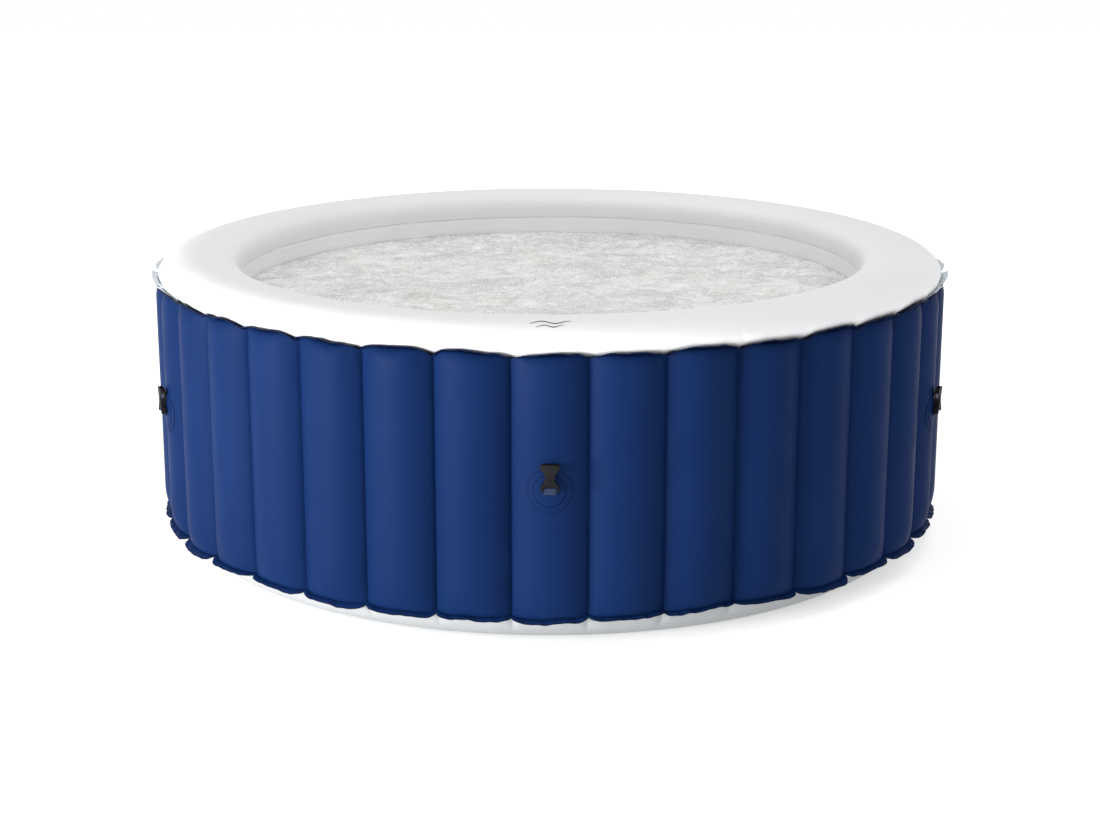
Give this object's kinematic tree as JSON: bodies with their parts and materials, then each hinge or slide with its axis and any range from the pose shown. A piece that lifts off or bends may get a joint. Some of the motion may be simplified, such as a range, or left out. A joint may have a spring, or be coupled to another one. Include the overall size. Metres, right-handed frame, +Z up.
{
  "type": "inflatable hot tub",
  "caption": "Round inflatable hot tub: fluted air-filled wall with a fat padded rim and flat floor, water and air connections at the back, inflation valve, drain and buckles for a cover.",
  "frame": {"origin": "on the ground at the centre of the tub's round base", "axes": "+Z up; the front flute faces -Y; the air connection and the back fittings face +Y"},
  "size_m": [1.8, 1.8249, 0.65],
  "materials": {
    "navy_vinyl": "satin",
    "white_vinyl": "satin",
    "grey_white_vinyl": "satin",
    "clear_vinyl": "satin",
    "web_vinyl": "matte",
    "black_plastic": "moulded, fine texture",
    "webbing": "woven",
    "grey_plastic": "moulded",
    "white_plastic": "moulded",
    "pipe_plastic": "extruded",
    "seal_rubber": "matte",
    "filter_paper": "pleated",
    "spring_steel": "bright"
  },
  "bodies": {
    "tub": {"outer_wall": "navy_vinyl", "bottom_seam_flange": "navy_vinyl", "buckle_patches": "navy_vinyl", "top_rim": "white_vinyl", "base_ring": "white_vinyl", "inner_seam_band": "white_vinyl", "inner_wall": "grey_white_vinyl", "floor_sheet": "grey_white_vinyl", "air_ring": "grey_white_vinyl", "top_seam_flange": "clear_vinyl", "chamber_webs": "web_vinyl", "buckle_straps": "webbing", "water_outlet_port": "grey_plastic", "water_inlet_port": "grey_plastic", "air_port": "grey_plastic", "port_lock_nuts": "grey_plastic", "outlet_pool_collar": "grey_plastic", "inlet_pool_collar": "grey_plastic", "drain_pool_collar": "grey_plastic", "pool_lock_nuts": "grey_plastic", "drain_valve_body": "grey_plastic", "inflation_valve_base": "grey_plastic", "filter_base": "white_plastic", "return_grille": "white_plastic", "water_outlet_pipe": "pipe_plastic", "water_inlet_pipe": "pipe_plastic", "drain_pipe": "pipe_plastic", "air_hose": "pipe_plastic", "port_gaskets": "seal_rubber", "inflation_valve_spring": "spring_steel"},
    "valve_cap": {"inflation_valve_cap": "grey_plastic"},
    "valve_poppet": {"inflation_valve_stem": "grey_plastic"},
    "drain_cap": {"drain_valve_cap": "grey_plastic", "drain_cap_washer": "seal_rubber"},
    "pool_plug": {"drain_plug": "seal_rubber"},
    "filter": {"filter_cover": "white_plastic", "filter_cartridge": "filter_paper"},
    "buckle_front": {"buckle_front": "black_plastic"},
    "buckle_right": {"buckle_right": "black_plastic"},
    "buckle_left": {"buckle_left": "black_plastic"},
    "buckle_back_right": {"buckle_back_right": "black_plastic"},
    "buckle_back_left": {"buckle_back_left": "black_plastic"}
  },
  "joints": [
    {"name": "valve_cap_off", "type": "slide", "parent": "tub", "child": "valve_cap", "axis": [-0.342, 0.9397, 0], "range_m": [0, 0.06]},
    {"name": "valve_press", "type": "slide", "parent": "tub", "child": "valve_poppet", "axis": [0.342, -0.9397, 0], "range_m": [0, 0.006], "stiffness_N_per_m": 300, "springref_m": -0.002, "deforming": ["inflation_valve_spring"]},
    {"name": "drain_cap_off", "type": "slide", "parent": "tub", "child": "drain_cap", "axis": [0.342, 0.9397, 0], "range_m": [0, 0.05]},
    {"name": "pool_plug_out", "type": "slide", "parent": "tub", "child": "pool_plug", "axis": [-0.342, -0.9397, 0], "range_m": [0, 0.05]},
    {"name": "filter_off", "type": "slide", "parent": "tub", "child": "filter", "axis": [0.1736, -0.9848, 0], "range_m": [0, 0.15]},
    {"name": "buckle_front_flip", "type": "hinge", "parent": "tub", "child": "buckle_front", "pos_m": [0, -0.9014, 0.338], "axis": [1, 0, 0], "range_deg": [0, 140]},
    {"name": "buckle_right_flip", "type": "hinge", "parent": "tub", "child": "buckle_right", "pos_m": [0.84704, -0.3083, 0.338], "axis": [0.342, 0.9397, 0], "range_deg": [0, 140]},
    {"name": "buckle_left_flip", "type": "hinge", "parent": "tub", "child": "buckle_left", "pos_m": [-0.84704, -0.3083, 0.338], "axis": [0.342, -0.9397, 0], "range_deg": [0, 140]},
    {"name": "buckle_back_right_flip", "type": "hinge", "parent": "tub", "child": "buckle_back_right", "pos_m": [0.57941, 0.69051, 0.338], "axis": [-0.766, 0.6428, 0], "range_deg": [0, 140]},
    {"name": "buckle_back_left_flip", "type": "hinge", "parent": "tub", "child": "buckle_back_left", "pos_m": [-0.57941, 0.69051, 0.338], "axis": [-0.766, -0.6428, 0], "range_deg": [0, 140]}
  ]
}
